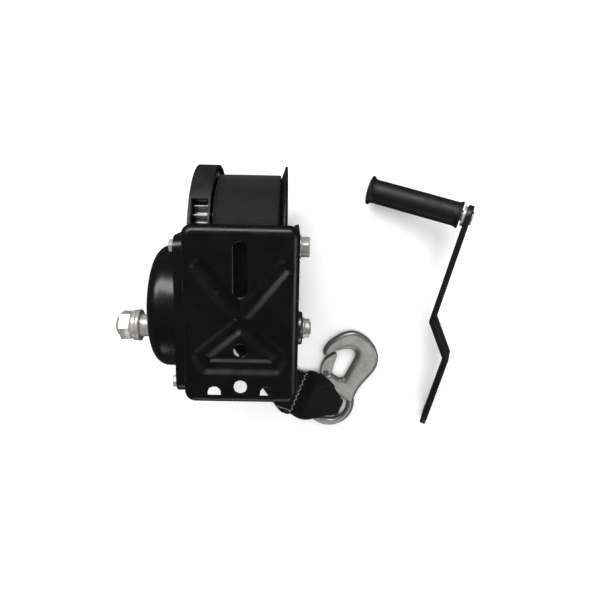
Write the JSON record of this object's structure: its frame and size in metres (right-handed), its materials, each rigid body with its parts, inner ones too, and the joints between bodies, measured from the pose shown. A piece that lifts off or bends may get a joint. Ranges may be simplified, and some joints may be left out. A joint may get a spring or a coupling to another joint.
{
  "type": "boat trailer winch",
  "caption": "Hand winch that pulls a boat onto its trailer with a webbing strap, with a brake that holds the load.",
  "frame": {"origin": "centre of the base plate's middle bolt hole, on the mounting face", "axes": "+X along the shafts towards the drum's plain end, +Z out of the base's mounting face; the winch lies on its drum with that face up"},
  "size_m": [0.3345, 0.2717, 0.146],
  "materials": {
    "black_paint": "gloss black enamel",
    "guard_plastic": "satin black moulding",
    "zinc": "bright zinc plate",
    "hook_zinc": "satin zinc plate",
    "dark_steel": "oiled dark steel",
    "bronze": "sintered bronze",
    "lining": "moulded friction lining",
    "webbing": "woven black webbing",
    "grip_plastic": "black moulded grip"
  },
  "bodies": {
    "frame": {"frame_channel": "black_paint", "gear_guard": "guard_plastic", "guard_screws": "zinc", "drum_axle_bolt": "zinc", "drum_axle_nut": "zinc", "drum_axle_washers": "zinc", "drum_spacers": "dark_steel", "left_bearing_bush": "bronze", "right_bearing_bush": "bronze", "right_bearing_housing": "black_paint", "brake_cover": "black_paint", "back_plate": "black_paint", "cover_screws": "zinc", "pawl_pin": "dark_steel", "pawl_clip": "zinc", "pawl_spring": "dark_steel", "strap_tail": "webbing"},
    "drum": {"drum_gear": "dark_steel", "drum_tube": "black_paint", "drum_flange": "black_paint", "drum_bushes": "bronze", "strap_anchor_pin": "dark_steel", "strap_roll": "webbing"},
    "drive": {"drive_shaft": "zinc", "pinion": "dark_steel", "pinion_collar": "dark_steel", "brake_flange": "dark_steel", "friction_disc_inner": "lining", "friction_disc_outer": "lining", "brake_hub": "zinc", "shaft_end_washer": "zinc", "shaft_end_nut": "zinc", "shaft_right_washer": "zinc", "shaft_right_nut": "zinc"},
    "ratchet": {"ratchet_wheel": "dark_steel", "ratchet_bush": "bronze"},
    "pawl": {"pawl": "dark_steel"},
    "hook": {"strap_loop": "webbing", "snap_hook": "hook_zinc", "latch_rivet": "zinc"},
    "latch": {"snap_latch": "hook_zinc"},
    "handle": {"handle_arm": "black_paint", "grip_pin": "zinc", "grip_washer": "zinc"},
    "grip": {"grip_sleeve": "grip_plastic"}
  },
  "joints": [
    {"name": "drum_spin", "type": "hinge", "parent": "frame", "child": "drum", "pos_m": [0, 0.0737, -0.076], "axis": [1, 0, 0], "continuous": true},
    {"name": "drive_spin", "type": "hinge", "parent": "frame", "child": "drive", "pos_m": [0, -0.00357, -0.082], "axis": [1, 0, 0], "continuous": true},
    {"name": "ratchet_play", "type": "hinge", "parent": "frame", "child": "ratchet", "pos_m": [0, -0.00357, -0.082], "axis": [1, 0, 0], "range_deg": [-4, 0]},
    {"name": "pawl_swing", "type": "hinge", "parent": "frame", "child": "pawl", "pos_m": [0, 0.03835, -0.07046], "axis": [1, 0, 0], "range_deg": [0, 15], "stiffness_Nm_per_rad": 0.03, "springref_deg": -17.19},
    {"name": "hook_lift", "type": "hinge", "parent": "frame", "child": "hook", "pos_m": [0.05109, -0.09327, -0.1424], "axis": [-0.342, -0.9397, 0], "range_deg": [0, 70]},
    {"name": "latch_swing", "type": "hinge", "parent": "hook", "child": "latch", "pos_m": [0.07823, -0.06861, -0.14], "axis": [0, 0, -1], "range_deg": [0, 25], "stiffness_Nm_per_rad": 0.03, "springref_deg": -17.19},
    {"name": "crank_lift", "type": "slide", "parent": "frame", "child": "handle", "axis": [0, 0, 1], "range_m": [0, 0.2]},
    {"name": "grip_spin", "type": "hinge", "parent": "handle", "child": "grip", "pos_m": [0.16733, 0.11113, -0.11479], "axis": [0.922, -0.2333, 0.309], "continuous": true}
  ],
  "couplings": [
    {"joint": "drive_spin", "follows": "drum_spin", "ratio": -4.1667}
  ]
}
